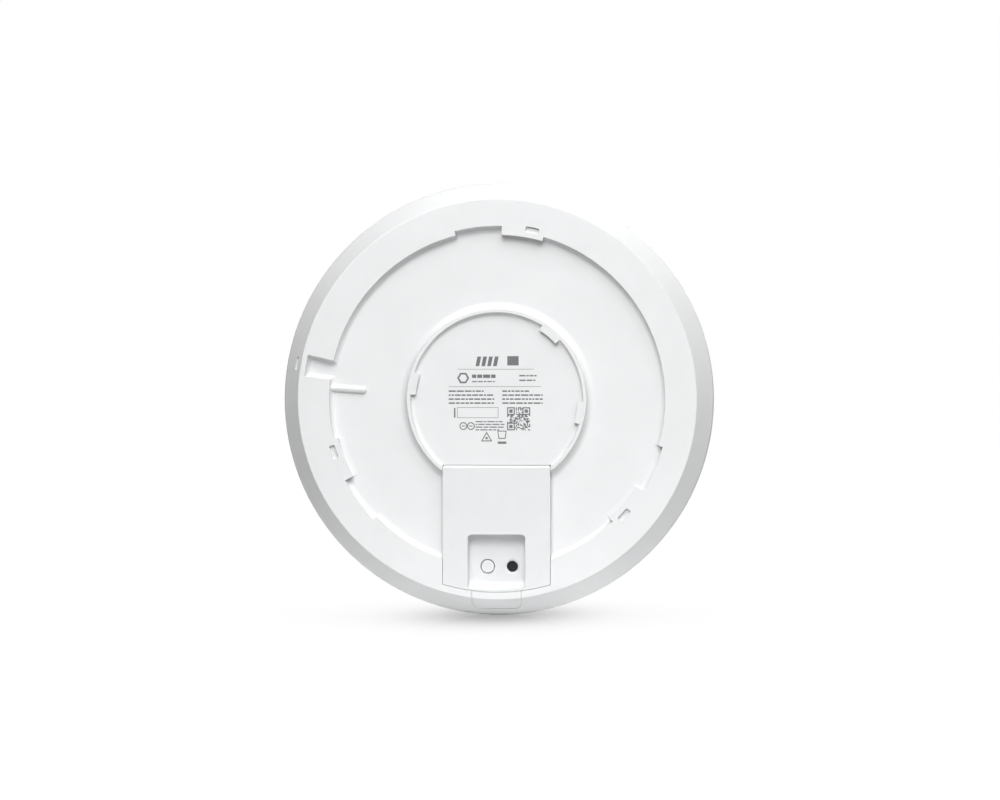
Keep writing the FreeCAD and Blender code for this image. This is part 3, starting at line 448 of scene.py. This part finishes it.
class Print:
    """Collects flat ink shapes on the round inner floor, then makes one thin mesh."""

    def __init__(self, name):
        self.name = name
        self.mesh = bmesh.new()

    def shape(self, points):
        """A flat outline given as (x, z) points in millimetres, counter-clockwise."""
        back = [self.mesh.verts.new((x * MM, LABEL_Y - INK_LIFT, z * MM)) for x, z in points]
        self.mesh.faces.new(back)

    def bar(self, x0, x1, z0, z1):
        self.shape([(x0, z0), (x1, z0), (x1, z1), (x0, z1)])

    def outline(self, points, width):
        """Closed band of about a given width inside an outline."""
        count = len(points)
        centre = (sum(p[0] for p in points) / count, sum(p[1] for p in points) / count)
        inner = []
        for x, z in points:
            reach = math.hypot(x - centre[0], z - centre[1])
            scale = (reach - width) / reach
            inner.append((centre[0] + (x - centre[0]) * scale,
                          centre[1] + (z - centre[1]) * scale))
        for k in range(count):
            after = (k + 1) % count
            self.shape([points[k], points[after], inner[after], inner[k]])

    def finish(self):
        data = bpy.data.meshes.new(self.name)
        self.mesh.to_mesh(data)
        self.mesh.free()
        item = bpy.data.objects.new(self.name, data)
        bpy.context.scene.collection.objects.link(item)
        solid = item.modifiers.new("ink_thickness", "SOLIDIFY")
        solid.thickness = INK_THICKNESS
        solid.offset = 0.0
        item.data.materials.append(MATERIALS["printed_ink"])
        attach(item, "housing")
        return item


def ring_points(x, z, radius, count, turn=0.0):
    return [(x + radius * math.cos(turn + 2 * math.pi * k / count),
             z + radius * math.sin(turn + 2 * math.pi * k / count)) for k in range(count)]


def dash_line(ink, rng, x0, x1, z, height):
    """A row of short bars that reads as a line of small print and says nothing."""
    x = x0
    while x < x1 - 0.6:
        length = min(rng.uniform(1.0, 4.2), x1 - x)
        ink.bar(x, x + length, z - height / 2, z + height / 2)
        x += length + DASH_GAP


def matrix_code(ink, rng, x0, z0, side, cells):
    """Random square pattern with three plain corner squares; it encodes nothing."""
    step = side / cells
    last = cells - EYE
    for row in range(cells):
        for column in range(cells):
            corner = min(row, cells - 1 - row) < EYE and min(column, cells - 1 - column) < EYE
            if corner and not (row < EYE and column >= last):
                continue
            if rng.random() < 0.5:
                ink.bar(x0 + column * step, x0 + (column + 1) * step,
                        z0 + row * step, z0 + (row + 1) * step)
    for column, row in ((0, 0), (0, last), (last, last)):
        x = x0 + column * step
        z = z0 + row * step
        far = (EYE - 1) * step
        ink.bar(x, x + EYE * step, z, z + step)
        ink.bar(x, x + EYE * step, z + far, z + EYE * step)
        ink.bar(x, x + step, z + step, z + far)
        ink.bar(x + far, x + EYE * step, z + step, z + far)
        ink.bar(x + 2 * step, x + 5 * step, z + 2 * step, z + 5 * step)


def printed_rules():
    ink = Print("printed_rules")
    ink.bar(-22.2, 21.0, 16.75, 16.95)
    ink.bar(-27.3, 25.0, 6.95, 7.15)
    ink.finish()


def printed_heading():
    """Plain shapes where a maker would put its marks: a slanted bar group and two blocks."""
    rng = random.Random(11)
    ink = Print("printed_heading")
    lean = 1.1
    for k in range(4):
        x = -12.0 + 3.3 * k
        ink.shape([(x, 18.6), (x + 2.1, 18.6), (x + 2.1 + lean, 24.0), (x + lean, 24.0)])
    block = [(6.0, 19.0), (12.4, 19.0), (12.4, 24.2), (6.0, 24.2)]
    ink.shape(block)
    badge = ring_points(-19.0, 11.9, 3.4, 6)
    ink.outline(badge, 1.1)
    dash_line(ink, rng, -14.0, 0.4, 12.9, 1.9)
    dash_line(ink, rng, -14.0, -1.0, 9.9, 0.6)
    dash_line(ink, rng, 12.8, 22.6, 13.2, 0.75)
    dash_line(ink, rng, 12.8, 22.6, 10.6, 0.75)
    ink.finish()


def printed_columns():
    rng = random.Random(23)
    ink = Print("printed_columns")
    for row in range(4):
        z = 4.5 - 2.25 * row
        dash_line(ink, rng, -27.2, -1.4 - 6.0 * (row == 0), z, 0.8)
        dash_line(ink, rng, 3.2, 26.0 - 7.0 * (row == 0), z, 0.8)
    for row in range(4):
        dash_line(ink, rng, -12.0, 4.4 - 3.0 * (row == 3), -12.7 - 1.55 * row, 0.6)
    ink.finish()


def printed_box():
    ink = Print("printed_box")
    x0, x1, z0, z1 = -22.4, 0.9, -10.6, -4.6
    line = 0.22
    ink.bar(x0, x1, z0, z0 + line)
    ink.bar(x0, x1, z1 - line, z1)
    ink.bar(x0, x0 + line, z0 + line, z1 - line)
    ink.bar(x1 - line, x1, z0 + line, z1 - line)
    ink.bar(-24.2, -23.4, z0 + 0.2, z1 - 0.4)
    ink.finish()


def printed_code():
    ink = Print("printed_code")
    matrix_code(ink, random.Random(37), 5.9, -17.6, 13.0, 21)
    ink.finish()


def printed_symbols():
    """Plain geometric badges in the places of the certification marks."""
    ink = Print("printed_symbols")
    for x in (-18.9, -14.6):
        ink.outline(ring_points(x, -15.2, 2.2, 28), 0.55)
        ink.bar(x - 0.9, x + 0.9, -15.45, -14.95)
    ink.outline(ring_points(-5.7, -22.0, 3.7, 3, math.radians(90)), 1.1)
    ink.shape(ring_points(-5.7, -22.0, 0.7, 16))
    ink.outline([(1.0, -22.4), (5.0, -22.4), (5.6, -17.8), (0.4, -17.8)], 0.7)
    ink.bar(0.6, 5.4, -25.2, -23.9)
    ink.finish()


# ---- small moulded and cut details ---------------------------------------------------------
CONTROL_Z = -94.5        # height of the button and the screw, in millimetres like the rest below
SCREW_X = 8.5
BUTTON_X = -5.4
RIB_HALF = 0.4
BAY_RIB_HALF = 0.45
COVER_UNDERSIDE_Y = 2.0
BAY_FLOOR_Y = 22.0


def add_box(mesh, x0, x1, y0, y1, z0, z1):
    """Closed block in millimetres."""
    corners = [mesh.verts.new((x * MM, y * MM, z * MM))
               for x in (x0, x1) for y in (y0, y1) for z in (z0, z1)]
    for a, b, c, d in ((0, 1, 3, 2), (4, 6, 7, 5), (0, 4, 5, 1), (2, 3, 7, 6),
                       (0, 2, 6, 4), (1, 5, 7, 3)):
        mesh.faces.new([corners[a], corners[b], corners[c], corners[d]])


def detail_piece(name, mesh, body, slot, bevel=0.12):
    """Turns a bmesh into an object that rides on a body and wears a record slot."""
    data = bpy.data.meshes.new(name)
    bmesh.ops.recalc_face_normals(mesh, faces=mesh.faces)
    mesh.to_mesh(data)
    mesh.free()
    item = bpy.data.objects.new(name, data)
    bpy.context.scene.collection.objects.link(item)
    item.data.materials.append(MATERIALS[slot])
    if bevel:
        edges = item.modifiers.new("edges", "BEVEL")
        edges.width = bevel * MM
        edges.segments = 2
    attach(item, body)
    return item


def cover_ribs():
    """Stiffening ribs under the port cover, between the hinge and the scoop."""
    mesh = bmesh.new()
    low = COVER_UNDERSIDE_Y - 0.1
    high = COVER_UNDERSIDE_Y + 1.3
    for x in (-21.0, -10.5, 0.0, 10.5, 21.0):
        add_box(mesh, x - RIB_HALF, x + RIB_HALF, low, high, -73.5, -43.0)
    for z in (-50.0, -58.0, -66.0):
        add_box(mesh, -28.4, 28.4, low, high - 0.2, z - RIB_HALF, z + RIB_HALF)
    detail_piece("cover_ribs", mesh, "cover", "cover_white")


def bay_ribs():
    """Low guide ribs on the floor of the port bay that keep the cable in its lane."""
    mesh = bmesh.new()
    for x in (-23.5, -19.5, 19.5, 23.5):
        add_box(mesh, x - BAY_RIB_HALF, x + BAY_RIB_HALF, BAY_FLOOR_Y - 1.2, BAY_FLOOR_Y + 0.1,
                -92.0, -68.0)
    detail_piece("bay_ribs", mesh, "housing", "housing_white")


def skin(mesh, rings):
    """Closed tube through equal rings of vertices."""
    sides = len(rings[0])
    for first, second in zip(rings, rings[1:]):
        for k in range(sides):
            after = (k + 1) % sides
            mesh.faces.new([first[k], first[after], second[after], second[k]])
    mesh.faces.new(rings[0])
    mesh.faces.new(rings[-1][::-1])


def screw_thread():
    """Helical ridge around the shank of the security screw."""
    mesh = bmesh.new()
    steps = 18
    turns = 5
    pitch = 0.6
    shank = 1.42
    ridge = 0.16
    half_width = 0.2
    start_y = 10.75
    rings = []
    for k in range(steps * turns + 1):
        angle = 2 * math.pi * k / steps
        y = start_y + pitch * k / steps
        ring = []
        for reach, lift in ((shank, -half_width), (shank + ridge, 0.0), (shank, half_width)):
            ring.append(mesh.verts.new(((SCREW_X + reach * math.cos(angle)) * MM, (y + lift) * MM,
                                        (CONTROL_Z + reach * math.sin(angle)) * MM)))
        rings.append(ring)
    skin(mesh, rings)
    detail_piece("screw_thread", mesh, "cover", "screw_dark", bevel=0.0)


def button_spring():
    """Coil spring of the button."""
    mesh = bmesh.new()
    steps = 24
    sides = 8
    coil = 2.9
    wire = 0.3
    pitch = 0.95
    start_y = 10.05
    length = 4.63
    rings = []
    for k in range(round(steps * length / pitch) + 1):
        angle = 2 * math.pi * k / steps
        ring = []
        for side in range(sides):
            turn = 2 * math.pi * side / sides
            reach = coil + wire * math.cos(turn)
            y = start_y + pitch * k / steps + wire * math.sin(turn)
            ring.append(mesh.verts.new(((BUTTON_X + reach * math.cos(angle)) * MM, y * MM,
                                        (CONTROL_Z - reach * math.sin(angle)) * MM)))
        rings.append(ring)
    skin(mesh, rings)
    item = detail_piece("spring_coil", mesh, "cover", "spring_steel", bevel=0.0)
    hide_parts("button_spring")
    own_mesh(item)


# ---- build ---------------------------------------------------------------------------------
make_camera()
dress_cad_nodes()
make_stage()
make_light()
printed_rules()
printed_heading()
printed_columns()
printed_box()
printed_code()
printed_symbols()
cover_ribs()
bay_ribs()
screw_thread()
button_spring()
